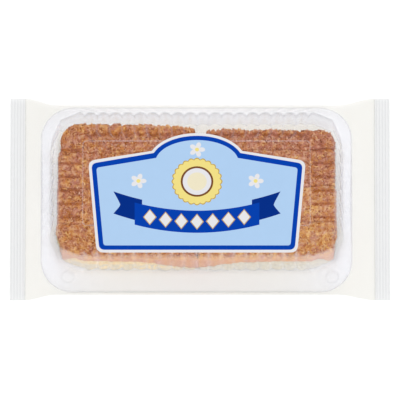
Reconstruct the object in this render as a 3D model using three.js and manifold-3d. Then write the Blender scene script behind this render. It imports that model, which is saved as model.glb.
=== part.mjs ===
import * as THREE from 'three';
import { mergeVertices } from 'three/addons/utils/BufferGeometryUtils.js';
import Module from 'manifold-3d';

// A sliced coconut cake in its sealed shop pack, lying with the label up.
// The clear film bag is one solid. It is drawn tight over the fluted roof of the lid inside,
// slopes straight to the edge of the lid's flange, and ends in a flat crimped seal at each end.
// Millimetres, +Z up. The origin is the middle of the underside, +X runs along the pack and
// +Y to its back.

// Film bag
const packLength = 305.5; // between the outer edges of the two seals
const sealWidth = 173.2; // across the pack at the seals
const sealLength = 12; // crimped band at each end
const sealHeight = 1.5; // at the crests of the crimp
const crimpPitch = 2.4;
const crimpDepth = 0.7;
const waistWidth = 161; // across the film where it is tight on the flange
const flareStart = 112; // from the lid's middle to where the film begins to spread
const hemHeight = 1.6; // of the folded edge round the flange

// Roof of the lid, which shapes the film
const lidShift = new THREE.Vector2(-2.8, 1.15); // the lid lies off the bag's middle
const roofLength = 232.8;
const roofWidth = 123.2;
const roofHeight = 36;
const roofCorner = 22;
const cornerFacet = Math.PI / 4; // each corner is cut into flat facets of this angle
const shoulder = 20; // from the roof's edge in to its flat panel
const edgeDrop = 2.2; // rounding of the roof's edge

// Flutes, which run over the shoulder and down the walls
const longFlutes = 9; // on half of a long side, from a groove at its middle
const longPitch = 10;
const plainFlutes = 4; // the plain corner takes up as many
const shortFlutes = 2.5; // on half of a short side, to a ridge at its middle
const shortPitch = 11.56;
const grooveInset = 1.2; // how far the film is drawn in between the ridges
const grooveDrop = 0.6;
const stepsPerFlute = 4;

// Label on the roof
const labelMiddle = -2.4; // along X
const labelThickness = 0.3;
const labelGap = 0.3; // between the film and the label
const labelHalf = 87.3; // half its width at the shoulders
const labelFootHalf = 80.4; // and along its front edge
const labelFront = -59.3;
const labelShoulder = 19.4; // where the sides end
const labelCorner = 6;
const archHalf = 36.8; // half the arch's width at its foot
const archTop = 43.2;
const archAxes = new THREE.Vector2(39.4, 25.2); // half axes of its ellipse
const archSteps = 24;

const wasm = await Module();
wasm.setup();

const quarterFlutes = longFlutes + plainFlutes + shortFlutes;
const quarterSteps = quarterFlutes * stepsPerFlute;

function finish(color, roughness) {
  return new THREE.MeshStandardMaterial({ color, roughness, metalness: 0 });
}

// How deep a flute's groove is at this phase: 0 on a ridge and 1 in a groove, on a round section.
function grooveAt(phase) {
  const roundness = 0.9;
  const across = 2 * (phase - Math.floor(phase)) - 1;
  if (phase > longFlutes && phase < longFlutes + plainFlutes) return 0;
  return (1 - Math.sqrt(1 - roundness * across * across)) / (1 - Math.sqrt(1 - roundness));
}

// A point of the outline that lies `inset` inside the roof's edge, in the first quarter. The phase
// counts flutes from the middle of the long side, round a faceted corner, to the short side's middle.
function roofPoint(phase, inset) {
  const straightX = roofLength / 2 - roofCorner;
  const straightY = roofWidth / 2 - roofCorner;
  const bend = (roofCorner * Math.PI) / 2;
  const quarter = straightX + bend + straightY;
  const longRun = longFlutes * longPitch;
  const shortRun = shortFlutes * shortPitch;
  const plainPitch = (quarter - longRun - shortRun) / plainFlutes;
  const along = Math.min(phase, longFlutes) * longPitch
    + THREE.MathUtils.clamp(phase - longFlutes, 0, plainFlutes) * plainPitch
    + Math.max(phase - longFlutes - plainFlutes, 0) * shortPitch;
  const turn = THREE.MathUtils.clamp((along - straightX) / roofCorner, 0, Math.PI / 2);
  const lean = (turn % cornerFacet) - cornerFacet / 2;
  const radius = (roofCorner * Math.cos(cornerFacet / 2)) / Math.cos(lean) - inset;
  return new THREE.Vector2(
    Math.min(along, straightX) + radius * Math.sin(turn),
    straightY + radius * Math.cos(turn) - Math.max(0, along - straightX - bend),
  );
}

// A point of the film's outline on the table, in the first quarter: along the flange, out with
// the flare to the seal's corner, and back along the seal to its middle.
function hemPoint(phase) {
  const flareFlutes = 2;
  const sealX = packLength / 2 - sealLength;
  const sealY = sealWidth / 2 - 0.2; // just inside the seal, which is joined on afterwards
  const flareEnd = longFlutes + flareFlutes;
  if (phase <= longFlutes) {
    return new THREE.Vector2((phase / longFlutes) * flareStart, waistWidth / 2);
  }
  if (phase <= flareEnd) {
    const share = (phase - longFlutes) / flareFlutes;
    const spread = THREE.MathUtils.smoothstep(share, 0, 1);
    return new THREE.Vector2(
      THREE.MathUtils.lerp(flareStart, sealX, share),
      THREE.MathUtils.lerp(waistWidth / 2, sealY, spread),
    );
  }
  return new THREE.Vector2(sealX, sealY * (1 - (phase - flareEnd) / (quarterFlutes - flareEnd)));
}

// The film from the roof's panel out and down: a point at this phase on each ring in turn.
function filmProfile(phase) {
  const groove = grooveAt(phase);
  const onRoof = (inset, drop, share) => {
    const p = roofPoint(phase, inset + grooveInset * groove * share);
    return new THREE.Vector3(p.x, p.y, roofHeight - drop - grooveDrop * groove * share);
  };
  const edge = onRoof(0, edgeDrop, 1);
  const hem = hemPoint(phase);
  const onSlope = (share) => {
    const foot = new THREE.Vector3(hem.x, hem.y, hemHeight);
    return edge.clone().lerp(foot, share);
  };
  return [
    onRoof(shoulder, 0, 0),
    onRoof(shoulder * 0.85, 0, 1),
    onRoof(edgeDrop * 1.6, 0.2, 1),
    onRoof(edgeDrop * 0.45, edgeDrop * 0.4, 1),
    edge,
    onSlope(0.5),
    onSlope(1),
    new THREE.Vector3(hem.x, hem.y, 0),
  ];
}

// The bag without its seals: the four quarters of the film, closed by a fan above and below.
function bagBody() {
  const sealX = packLength / 2 - sealLength;
  const quarters = [[1, 1], [1, -1], [-1, -1], [-1, 1]];
  const columns = quarters.flatMap(([sideX, sideY], quarter) => (
    Array.from({ length: quarterSteps }, (_, step) => {
      const turned = quarter % 2 ? quarterSteps - step : step;
      return filmProfile(turned / stepsPerFlute).map((p) => {
        // The lid's shift fades out towards the seals and down to the hem.
        const shiftX = lidShift.x * THREE.MathUtils.clamp((sealX - p.x) / (sealX - flareStart), 0, 1);
        const shiftY = (lidShift.y * p.z) / roofHeight;
        return [sideX * p.x + shiftX, sideY * p.y + shiftY, p.z];
      });
    })
  ));
  const rings = columns[0].length;
  const count = columns.length;
  const top = count * rings;
  const vertices = [
    ...columns.flat(),
    [lidShift.x, lidShift.y, roofHeight],
    [lidShift.x, 0, 0],
  ];
  const triangles = [];
  for (let column = 0; column < count; column += 1) {
    const here = column * rings;
    const next = ((column + 1) % count) * rings;
    triangles.push([top, next, here]);
    for (let ring = 0; ring < rings - 1; ring += 1) {
      triangles.push([here + ring, next + ring, next + ring + 1]);
      triangles.push([here + ring, next + ring + 1, here + ring + 1]);
    }
    triangles.push([top + 1, here + rings - 1, next + rings - 1]);
  }
  const geometry = new THREE.BufferGeometry();
  geometry.setAttribute('position', new THREE.Float32BufferAttribute(vertices.flat(), 3));
  geometry.setIndex(triangles.flat());
  return geometry;
}

// A seal: two films pressed flat and crimped in ridges across the pack. Its section lies along X,
// and its inner end reaches into the bag.
function sealBand(side) {
  const inner = packLength / 2 - sealLength - 1;
  const outer = packLength / 2;
  const crests = Math.floor(sealLength / crimpPitch);
  const section = new THREE.Shape();
  section.moveTo(inner, 0);
  section.lineTo(inner, sealHeight - crimpDepth);
  for (let crest = crests; crest > 0; crest -= 1) {
    const ridge = outer - (crest - 0.5) * crimpPitch;
    section.lineTo(ridge - crimpPitch / 2, sealHeight - crimpDepth);
    section.lineTo(ridge, sealHeight);
  }
  section.lineTo(outer, sealHeight - crimpDepth);
  section.lineTo(outer, 0);
  section.closePath();
  const geometry = new THREE.ExtrudeGeometry(section, { depth: sealWidth, bevelEnabled: false });
  geometry.translate(0, 0, -sealWidth / 2);
  geometry.rotateX(Math.PI / 2);
  if (side < 0) geometry.rotateZ(Math.PI);
  return geometry;
}

function toSolid(geometry) {
  const bare = geometry.clone();
  bare.deleteAttribute('normal');
  bare.deleteAttribute('uv');
  const merged = mergeVertices(bare, 1e-4);
  return new wasm.Manifold(new wasm.Mesh({
    numProp: 3,
    vertProperties: new Float32Array(merged.attributes.position.array),
    triVerts: new Uint32Array(merged.index.array),
  }));
}

function toGeometry(solid) {
  const mesh = solid.getMesh();
  const geometry = new THREE.BufferGeometry();
  geometry.setAttribute('position', new THREE.BufferAttribute(mesh.vertProperties, 3));
  geometry.setIndex(new THREE.BufferAttribute(mesh.triVerts, 1));
  geometry.computeVertexNormals();
  return geometry;
}

function filmBag() {
  const solid = toSolid(bagBody()).add(toSolid(sealBand(1))).add(toSolid(sealBand(-1)));
  const mesh = new THREE.Mesh(toGeometry(solid), finish(0xe9e9ec, 0.12));
  mesh.name = 'film_pack';
  return mesh;
}

// The label's outline: a plaque with tapered sides, rounded corners and an arch at the back.
function labelShape() {
  const archAngle = Math.acos(archHalf / archAxes.x);
  const taper = (labelHalf - labelFootHalf) / (labelShoulder - labelFront);
  const shape = new THREE.Shape();
  shape.moveTo(-labelFootHalf + labelCorner, labelFront);
  shape.lineTo(labelFootHalf - labelCorner, labelFront);
  shape.quadraticCurveTo(
    labelFootHalf, labelFront,
    labelFootHalf + labelCorner * taper, labelFront + labelCorner,
  );
  shape.lineTo(labelHalf - labelCorner * taper, labelShoulder - labelCorner);
  shape.quadraticCurveTo(labelHalf, labelShoulder, labelHalf - labelCorner, labelShoulder + 1);
  shape.absellipse(
    0, archTop - archAxes.y, archAxes.x, archAxes.y,
    archAngle, Math.PI - archAngle,
  );
  shape.lineTo(labelCorner - labelHalf, labelShoulder + 1);
  shape.quadraticCurveTo(
    -labelHalf, labelShoulder,
    labelCorner * taper - labelHalf, labelShoulder - labelCorner,
  );
  shape.lineTo(-labelFootHalf - labelCorner * taper, labelFront + labelCorner);
  shape.quadraticCurveTo(-labelFootHalf, labelFront, labelCorner - labelFootHalf, labelFront);
  return shape;
}

function label() {
  const geometry = new THREE.ExtrudeGeometry(labelShape(), {
    depth: labelThickness,
    bevelEnabled: false,
    curveSegments: archSteps,
  });
  const mesh = new THREE.Mesh(geometry, finish(0xa9d0f2, 0.35));
  mesh.name = 'label';
  mesh.position.set(labelMiddle, 0, roofHeight + labelGap);
  return mesh;
}

const pack = new THREE.Group();
pack.add(filmBag(), label());

export default pack;
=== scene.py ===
import math

import bpy
import numpy as np
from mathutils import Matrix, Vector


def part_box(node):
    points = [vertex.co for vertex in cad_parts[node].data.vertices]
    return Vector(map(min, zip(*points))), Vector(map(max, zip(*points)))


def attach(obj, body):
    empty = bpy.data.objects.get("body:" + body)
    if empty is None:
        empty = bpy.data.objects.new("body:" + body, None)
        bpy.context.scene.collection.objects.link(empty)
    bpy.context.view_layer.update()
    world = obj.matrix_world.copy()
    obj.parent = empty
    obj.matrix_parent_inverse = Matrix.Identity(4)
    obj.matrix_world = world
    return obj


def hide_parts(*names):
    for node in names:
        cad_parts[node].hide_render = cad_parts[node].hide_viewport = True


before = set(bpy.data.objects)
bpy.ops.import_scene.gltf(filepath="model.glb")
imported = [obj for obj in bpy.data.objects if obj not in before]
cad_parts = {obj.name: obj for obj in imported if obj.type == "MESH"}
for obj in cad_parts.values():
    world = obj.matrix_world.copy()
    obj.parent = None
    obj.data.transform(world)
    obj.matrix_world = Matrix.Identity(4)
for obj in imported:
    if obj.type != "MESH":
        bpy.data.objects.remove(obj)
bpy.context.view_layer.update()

# Studio: a plain white floor under large soft lights, seen steeply from the front with a long lens.
# None of it belongs to the pack. Camera and lights are placed in metres, and points in millimetres.
MM = 0.001
PICTURE_WIDTH = 0.3216
VIEW_DISTANCE = 14.0
VIEW_ELEVATION = math.radians(69)
VIEW_TARGET_Y = -0.0003
SENSOR_WIDTH = 36.0
CLEAR_LAYERS = 40
SKY_COLOUR = (1, 1, 1, 1)
SKY_STRENGTH = 0.75
SOFT_BOXES = (
    ("top_box", (-0.05, 0.0, 1.6), 0.9, 8.8),
    ("back_box", (0.0, 1.6, 0.5), 0.8, 8.0),
    ("front_box", (0.2, -1.6, 0.28), 0.8, 13.0),
)
FLOOR_SIZE = 8000.0
FLOOR_LEVEL = -0.3
FLOOR_COLOUR = (0.94, 0.94, 0.935, 1)


def material_tree(name):
    """A node material, its empty tree, and the socket that takes its surface shader."""
    material = bpy.data.materials.new(name)
    material.use_nodes = True
    tree = material.node_tree
    tree.nodes.clear()
    return material, tree, tree.nodes.new("ShaderNodeOutputMaterial").inputs["Surface"]


def add_node(tree, kind, **values):
    """A node of this kind. A value named for an input socket, with _ for a space, is set on that socket."""
    made = tree.nodes.new("ShaderNode" + kind)
    for key, value in values.items():
        made.inputs[key.replace("_", " ")].default_value = value
    return made


def as_points(x, y, z):
    """A list of points from coordinates that are numbers or arrays of shapes that fit each other."""
    return np.stack(np.broadcast_arrays(x, y, z), -1).reshape(-1, 3)


def shown(name, material, points, faces, smooth=True, **attributes):
    """A mesh object of points, given in millimetres, and faces, in one material. An attribute is one number
    for each point."""
    mesh = bpy.data.meshes.new(name)
    mesh.from_pydata((np.asarray(points) * MM).tolist(), [], [tuple(f) for f in faces])
    mesh.polygons.foreach_set("use_smooth", np.full(len(mesh.polygons), smooth))
    for attribute, values in attributes.items():
        layer = mesh.attributes.new(attribute, "FLOAT", "POINT")
        layer.data.foreach_set("value", np.asarray(values, np.float32))
    mesh.materials.append(material)
    mesh.update()
    piece = bpy.data.objects.new(name, mesh)
    bpy.context.scene.collection.objects.link(piece)
    return piece


def floor_paper():
    """White matte paper."""
    material, tree, surface = material_tree("floor_paper")
    paper = add_node(tree, "BsdfPrincipled", Base_Color=FLOOR_COLOUR, Roughness=0.9, Specular_IOR_Level=0.1)
    tree.links.new(paper.outputs[0], surface)
    return material


def soft_box(name, place, size, power):
    """A square soft light at a place, turned to look at the pack."""
    data = bpy.data.lights.new(name, "AREA")
    data.size = size
    data.energy = power
    lamp = bpy.data.objects.new(name, data)
    lamp.location = place
    lamp.visible_glossy = False
    lamp.rotation_euler = (
        math.atan2(math.hypot(place[0], place[1]), place[2]), 0, math.atan2(place[0], -place[1]))
    bpy.context.scene.collection.objects.link(lamp)


scene = bpy.context.scene
lens = bpy.data.cameras.new("camera")
lens.sensor_width = SENSOR_WIDTH
lens.lens = SENSOR_WIDTH * VIEW_DISTANCE / PICTURE_WIDTH
camera = bpy.data.objects.new("camera", lens)
camera.location = (
    0,
    VIEW_TARGET_Y - VIEW_DISTANCE * math.cos(VIEW_ELEVATION),
    VIEW_DISTANCE * math.sin(VIEW_ELEVATION),
)
camera.rotation_euler = (math.pi / 2 - VIEW_ELEVATION, 0, 0)
scene.collection.objects.link(camera)
scene.camera = camera
scene.view_settings.view_transform = "Standard"
scene.cycles.transparent_max_bounces = CLEAR_LAYERS

sky = bpy.data.worlds.new("sky")
sky.use_nodes = True
sky.node_tree.nodes["Background"].inputs["Color"].default_value = SKY_COLOUR
sky.node_tree.nodes["Background"].inputs["Strength"].default_value = SKY_STRENGTH
scene.world = sky
for box in SOFT_BOXES:
    soft_box(*box)

floor_x = np.array([-0.5, 0.5, 0.5, -0.5]) * FLOOR_SIZE
floor_y = np.array([-0.5, -0.5, 0.5, 0.5]) * FLOOR_SIZE
floor = shown("floor", floor_paper(), as_points(floor_x, floor_y, FLOOR_LEVEL), [(0, 1, 2, 3)])

# Base sheet: the flat clear sheet that closes the pack below. It is cut to the flange's outline,
# lies in the film bag, and carries the cake.
LID_PLACE = (-2.8, 1.15)
FLANGE_PLACE = (-2.8, -0.6)
FLANGE_HALF = (125.0, 79.5)
FLANGE_CORNER = 27.0
SHEET_THICKNESS = 0.35
BASE_LEVEL = 0.7
BASE_RINGS = 8
BASE_STEPS = 4
ROOF_HALF = (116.0, 61.1)
ROOF_CORNER = 22.0
LONG_FLUTES = 9
LONG_PITCH = 10.0
PLAIN_FLUTES = 4
PLAIN_END = LONG_FLUTES + PLAIN_FLUTES
SHORT_FLUTES = 2.5
SHORT_PITCH = 11.56
QUARTER_FLUTES = PLAIN_END + SHORT_FLUTES
TRAY_TINT = (0.993, 0.995, 0.997, 1)
TRAY_MIRROR = (0.003, 0.12)
BASE_GLOSS = 0.06
BASE_HAZE = ((0.86, 0.83, 0.88, 1), 0.05)


def unit(value):
    """A value held between 0 and 1."""
    return np.clip(value, 0, 1)


def rounded_rectangle(station, half_x, half_y, corner, reach=None):
    """A quarter of a rounded rectangle: stations 0 to 1 run along half of the long side, 1 to 2 round
    the corner, on an arc unless another reach from its middle is given, and 2 to 3 down half of the
    short side."""
    turn = unit(station - 1) * np.pi / 2
    reach = corner if reach is None else reach
    x = (half_x - corner) * unit(station) + reach * np.sin(turn)
    y = (half_y - corner) * (1 - unit(station - 2)) + reach * np.cos(turn)
    return x, y


def station_at(phase):
    """Where a phase, counted in flutes from the middle of the long side, lies on the roof's edge. Each
    side has its own pitch, and the plain corner takes up the rest of the quarter."""
    straight_x = ROOF_HALF[0] - ROOF_CORNER
    straight_y = ROOF_HALF[1] - ROOF_CORNER
    bend = ROOF_CORNER * np.pi / 2
    sides = LONG_FLUTES * LONG_PITCH + SHORT_FLUTES * SHORT_PITCH
    plain_pitch = (straight_x + bend + straight_y - sides) / PLAIN_FLUTES
    along = np.minimum(phase, LONG_FLUTES) * LONG_PITCH
    along = along + np.clip(phase - LONG_FLUTES, 0, PLAIN_FLUTES) * plain_pitch
    along = along + np.maximum(phase - PLAIN_END, 0) * SHORT_PITCH
    corner = unit((along - straight_x) / bend)
    rest = unit((along - straight_x - bend) / straight_y)
    return unit(along / straight_x) + corner + rest


def all_round(steps):
    """Phases and signs for a full turn, clockwise from above: each quarter mirrors the last one."""
    quarter = np.arange(round(QUARTER_FLUTES * steps)) / steps
    back = QUARTER_FLUTES - quarter
    phase = np.concatenate([quarter, back, quarter, back])
    side_x = np.repeat([1, 1, -1, -1], len(quarter))
    side_y = np.repeat([1, -1, -1, 1], len(quarter))
    return phase, side_x, side_y


def grid_faces(rows, columns, closed):
    """Quads of a grid of points stored row by row. A closed grid joins its last column to its first."""
    row = np.arange(rows - 1)[:, None] * columns
    here = np.arange(columns if closed else columns - 1)[None, :]
    right = (here + 1) % columns
    corners = [row + here, row + right, row + columns + right, row + columns + here]
    return np.stack(np.broadcast_arrays(*corners), -1).reshape(-1, 4)


def fan_faces(ring, centre, forward):
    """Triangles from a ring of points to a centre point, turned over where forward is False."""
    ahead = np.roll(ring, -1)
    middle = np.full(len(ring), centre)
    order = [middle, ring, ahead] if forward else [middle, ahead, ring]
    return np.stack(order, -1)


def ringed(x, y, z, poles):
    """Closed rings of points, a row to each, and then their poles: quads between the rings, a fan from
    the first ring to the first pole and, where there are two, one from the last ring to the other."""
    rows, columns = np.broadcast_shapes(np.shape(x), np.shape(y), np.shape(z))
    ring = np.arange(columns)
    count = rows * columns
    faces = [*grid_faces(rows, columns, True), *fan_faces(ring, count, False)]
    if len(poles) == 2:
        faces += [*fan_faces(ring + count - columns, count + 1, True)]
    return np.concatenate([as_points(x, y, z), poles]), faces


def feed(tree, socket, term):
    """Sets a socket to a number, or links another node's output to it."""
    if isinstance(term, float):
        socket.default_value = term
    else:
        tree.links.new(term, socket)


def math_node(tree, operation, *terms):
    """What a Math node makes of these terms, which are numbers or other nodes' outputs."""
    made = add_node(tree, "Math")
    made.operation = operation
    for socket, term in zip(made.inputs, terms):
        feed(tree, socket, term)
    return made.outputs[0]


def mixed(tree, first, second, share):
    """One shader with a share of another."""
    mix = add_node(tree, "MixShader")
    feed(tree, mix.inputs["Fac"], share)
    tree.links.new(first, mix.inputs[1])
    tree.links.new(second, mix.inputs[2])
    return mix.outputs[0]


def clear_shader(tree, tint, gloss, mirror):
    """Thin clear sheet: what lies behind shows through a tint, and a mirrored share grows from mirror[0] by
    mirror[1] times the fourth power of how far the view leans from the normal."""
    through = add_node(tree, "BsdfTransparent", Color=tint)
    shine = add_node(tree, "BsdfGlossy", Color=(1, 1, 1, 1), Roughness=gloss)
    lean = add_node(tree, "LayerWeight", Blend=0.5)
    steep = math_node(tree, "POWER", lean.outputs["Facing"], 4.0)
    share = math_node(tree, "MULTIPLY_ADD", steep, mirror[1], mirror[0])
    return mixed(tree, through.outputs[0], shine.outputs[0], share)


def attribute_of(tree, name):
    """The number that a mesh attribute holds at each point."""
    made = add_node(tree, "Attribute")
    made.attribute_name = name
    return made.outputs["Fac"]


def plastic(name, tint, gloss, mirror, *hazes):
    """A clear sheet with diffuse hazes over it, each of a colour and a share, which is a number or the name
    of the attribute that holds it."""
    material, tree, surface = material_tree(name)
    sheet = clear_shader(tree, tint, gloss, mirror)
    for colour, share in hazes:
        haze = add_node(tree, "BsdfDiffuse", Color=colour)
        share = attribute_of(tree, share) if isinstance(share, str) else share
        sheet = mixed(tree, sheet, haze.outputs[0], share)
    tree.links.new(sheet, surface)
    return material


def thicken(piece, thickness):
    """Gives an open sheet its wall, inwards from the surface that was drawn."""
    wall = piece.modifiers.new("wall", "SOLIDIFY")
    wall.thickness = thickness * MM
    wall.offset = -1


def base_sheet():
    """Rings of the flange's outline, shrunk in equal steps to a middle point."""
    phase, side_x, side_y = all_round(BASE_STEPS)
    shares = np.linspace(0.1, 1, BASE_RINGS)[:, None]
    x, y = rounded_rectangle(station_at(phase), *FLANGE_HALF, FLANGE_CORNER)
    x = FLANGE_PLACE[0] + side_x * x * shares
    y = FLANGE_PLACE[1] + side_y * y * shares
    return ringed(x, y, BASE_LEVEL, [(*FLANGE_PLACE, BASE_LEVEL)])


base_plastic = plastic("base_plastic", TRAY_TINT, BASE_GLOSS, TRAY_MIRROR, BASE_HAZE)
base = shown("base_sheet", base_plastic, *base_sheet())
base.visible_shadow = False
thicken(base, SHEET_THICKNESS)
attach(base, "root")
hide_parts("film_pack")

# Cake: two blocks of sliced sponge that stand side by side on the base sheet. Each is a soft crumb
# with a browned coconut crust baked on top, and it is cut across into slices that stay together.
CAKE_COLUMNS, CAKE_ROWS = 150, 164
CAKE_FOOT = 0.9
CAKE_TOP = 20.0
CAKE_FRONT = -58.6
FRONT_PLAY = 0.3
FRONT_CORNER_POWER = 0.75
CORNER_FACET = np.pi / 4
CORNER_GAP = 0.8
CRUST_ROLL = 2.6
CUTS = (33.0, 2.0, -29.0)
CUT_WIDTH = 0.55
CUT_DEPTH = 1.3
CUT_STEP = 1.2
BLOCKS = (
    {
        "name": "left", "outer": -1, "seed": 11, "cut_shift": 0.0, "paleness": 0.65,
        "left": -115.2, "right": -2.5,
        "back_corner": (15.0, 15.0), "front_corner": (6.5, 22.0),
        "inner_front": -2.2, "inner_back": -4.6,
        "stagger": (3.1, 0.9, 0.4, -0.5),
        "warmth": (0.42, 0.46, 0.52, 0.68), "bake": (0.04, 0.02, 0.03, 0.0),
        "back_left": 57.6, "back_right": 56.7, "back_drop": (18.0, 2.8),
    },
    {
        "name": "right", "outer": 1, "seed": 47, "cut_shift": 1.8, "paleness": 0.9,
        "left": 2.5, "right": 109.9,
        "back_corner": (13.0, 10.5), "front_corner": (3.8, 20.0),
        "inner_front": -1.8, "inner_back": 4.8,
        "stagger": (0.9, 1.0, 0.2, -0.2),
        "warmth": (0.2, 0.35, 0.6, 0.7), "bake": (0.07, 0.0, -0.09, -0.13),
        "back_left": 53.6, "back_right": 52.6, "back_drop": (8.0, 1.0),
    },
)
# Unevenness, as layers of a height or weight, a length, a number of waves and a seed of its own.
BACK_EDGE_WAVES = ((0.6, 9, 8, 0), (0.5, 3, 8, 3))
FRONT_EDGE_WAVES = ((0.3, 12, 6, 1),)
SIDE_EDGE_WAVES = ((0.5, 6, 8, 2), (0.35, 2.4, 8, 4))
TOP_WAVES = ((0.5, 34, 10, 9),)
CUT_WAVES = ((0.8, 22, 6, 11),)
WARM_PATCHES = ((0.25, 12, 12, 13), (0.2, 5, 12, 15))
SKIRT_WAVES = ((0.4, 5, 6, 3),)
SKIRT_PATCHES = ((0.3, 12, 8, 0),)
# Lumps of coconut, as layers of a size, a height, a weight of their tone, its least and a seed of its own.
LUMP_LAYERS = ((4.0, 0.9, 0.34, 0.5, 0), (1.9, 0.4, 0.3, 0.3, 5))
LUMP_LEVEL = 0.6
# Painted shade: the tone in the hollows between lumps.
HOLLOW_SHADE_TONE = 0.16
# Painted shade in the cleft at each cut.
CLEFT_SHADE = 0.4
LID_SHADE = 0.73
# Painted light: along its front edge the crust is paled towards a lit tone, over a band that fades out.
FRONT_LIT_TONE = 0.78
FRONT_PAINTED_LIGHT = 0.75
FRONT_BAND = 3
FRONT_FADE = 2
TOAST = 0.2
TOAST_FADE = 3
CRESCENT_LINE = 47.6
CRESCENT_BOW = 2.8
SHORT_GROOVE_Y = 0.2
SHORT_BAND = 1.3
GROOVE_SHADE_START = 92.5
SHADE_FADE = 1.5
LID_ROUNDNESS = 0.72
GROOVE_AT_FOOT = 1.8
FLUTE_REACH = 3.2
CORNER_REACH = 2.0
SKIRT_ROWS = 5
SKIRT_FOOT = 13.6
SKIRT_LOWEST = 1.5
SKIRT_LEAST = 0.5
SKIRT_BULGE = 0.2
SKIRT_SINK = 0.2
SKIRT_TONES = (0.54, 0.74)
SKIRT_WARMTH = 0.5
DIP_DEPTH = 10.8
DIP_MIDDLE = (-6, 33)
DIP_ENDS = (98, 8)
DIP_ENDS_Y = -45
ROSY_BROWNS = (
    (0.0, (0.23, 0.058, 0.022)),
    (0.42, (0.482, 0.177, 0.114)),
    (1.0, (0.71, 0.43, 0.31)),
)
WARM_BROWNS = (
    (0.0, (0.27, 0.060, 0.003)),
    (0.42, (0.542, 0.195, 0.046)),
    (1.0, (0.79, 0.48, 0.18)),
)
CRUST_GRAIN = 1300.0
CRUST_MOTTLE = 0.2


def between(first, second, share):
    """The value that lies this share of the way from the first to the second."""
    return first + (second - first) * share


def hill(value, middle, width):
    """A smooth hill: the exponential of minus the square of how many widths a value lies from the middle."""
    return np.exp(-(((value - middle) / width) ** 2))


def chance(column, row, seed):
    """A number from 0 to 1 that depends only on a cell and a seed: the fraction of a large sine."""
    mixed_up = np.sin(column * 12.9898 + row * 78.233 + seed * 37.719) * 43758.5453
    return mixed_up - np.floor(mixed_up)


def lumps(x, y, size, seed):
    """Rounded lumps. The plane is cut into cells, each with a centre placed by chance. The height falls
    with the square of the distance to the nearest centre, and the tone is that cell's own chance."""
    column, row = np.floor(x / size), np.floor(y / size)
    nearest = np.full(x.shape, 9.0)
    tone = np.zeros(x.shape)
    for step_x in (-1, 0, 1):
        for step_y in (-1, 0, 1):
            cell_x, cell_y = column + step_x, row + step_y
            away_x = x / size - cell_x - chance(cell_x, cell_y, seed)
            away_y = y / size - cell_y - chance(cell_x, cell_y, seed + 1)
            apart = away_x**2 + away_y**2
            closer = apart < nearest
            nearest = np.where(closer, apart, nearest)
            tone = np.where(closer, chance(cell_x, cell_y, seed + 2), tone)
    return unit(1 - nearest), tone


def waves(x, y, layers, seed):
    """Smooth unevenness: each layer adds sine waves of about its length in random directions, of its height
    divided by the square root of their number."""
    total = np.zeros(np.broadcast(x, y).shape)
    for height, length, count, own_seed in layers:
        draw = np.random.default_rng(seed + own_seed)
        angle = draw.uniform(0, 2 * np.pi, count)
        reach = 2 * np.pi / (length * draw.uniform(0.7, 1.6, count))
        start = draw.uniform(0, 2 * np.pi, count)
        for a, k, s in zip(angle, reach, start):
            total = total + height / math.sqrt(count) * np.sin(k * (x * np.cos(a) + y * np.sin(a)) + s)
    return total


def block_plan(block):
    """The grid of a block's top. Rows run from the front, which the lid's slanting corner cuts off, to
    a back edge that drops towards the gap between the blocks. Their ends are drawn in on a slant at the
    front corner and on an ellipse at the back one, are shifted from slice to slice, and waver."""
    seed = block["seed"]
    across = np.linspace(0, 1, CAKE_COLUMNS)[None, :]
    deep = np.linspace(0, 1, CAKE_ROWS)[:, None]
    rough_x = between(block["left"], block["right"], across)
    width, depth = block["back_drop"]
    back = between(block["back_left"], block["back_right"], across)
    back = back - depth * unit(1 - (np.abs(rough_x) - abs(block["inner_back"])) / width)
    back = back + waves(rough_x, 0, BACK_EDGE_WAVES, seed)
    front = CAKE_FRONT + FRONT_PLAY + waves(rough_x, 0, FRONT_EDGE_WAVES, seed)
    past_corner = np.maximum(np.abs(rough_x - LID_PLACE[0]) - ROOF_HALF[0] + ROOF_CORNER, 0)
    slant = LID_PLACE[1] - ROOF_HALF[1] + CORNER_GAP + math.tan(CORNER_FACET / 2) * past_corner
    y = between(np.maximum(front, slant), back, deep)
    outer_back = block["back_left"] if block["outer"] < 0 else block["back_right"]
    width, depth = block["front_corner"]
    drawn_in = width * unit(1 - (y - CAKE_FRONT) / depth) ** FRONT_CORNER_POWER
    width, depth = block["back_corner"]
    short = unit(1 - (outer_back - y) / depth)
    drawn_in = drawn_in + width * (1 - np.sqrt(1 - short**2))
    ends = np.repeat(CUTS[::-1], 2) + np.tile((-CUT_STEP, CUT_STEP), len(CUTS))
    drawn_in = drawn_in + np.interp(y, ends, np.repeat(block["stagger"][::-1], 2)[1:-1])
    share = (y - CAKE_FRONT) / (block["back_left"] - CAKE_FRONT)
    waver = waves(y, 0, SIDE_EDGE_WAVES, seed)
    inner = between(block["inner_front"], block["inner_back"], share) + waver
    if block["outer"] < 0:
        left, right = block["left"] + drawn_in + np.abs(waver), inner
    else:
        left, right = inner, block["right"] - drawn_in - np.abs(waver)
    return between(left, right, across), y


def edge_loop(rows, columns):
    """Indices of a grid's outermost points, once round, anticlockwise from above."""
    grid = np.arange(rows * columns).reshape(rows, columns)
    return np.concatenate([grid[0, :-1], grid[:-1, -1], grid[-1, :0:-1], grid[:0:-1, 0]])


def outline_of(x, y):
    """The plan curve of a grid's outermost points."""
    return np.stack([x, y], -1).reshape(-1, 2)[edge_loop(*x.shape)]


def outward_of(loop):
    """Unit normals of a closed plan curve, from the step between each point's two neighbours."""
    step = np.roll(loop, -1, 0) - np.roll(loop, 1, 0)
    normal = np.stack([step[:, 1], -step[:, 0]], -1)
    return normal / np.maximum(np.linalg.norm(normal, axis=1, keepdims=True), 1e-9)


def rings_round(plan, moved):
    """The X and Y of rings round a plan curve, each point moved this far along the curve's normals."""
    normal = outward_of(plan)
    return plan[:, 0] + normal[:, 0] * moved, plan[:, 1] + normal[:, 1] * moved


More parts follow.
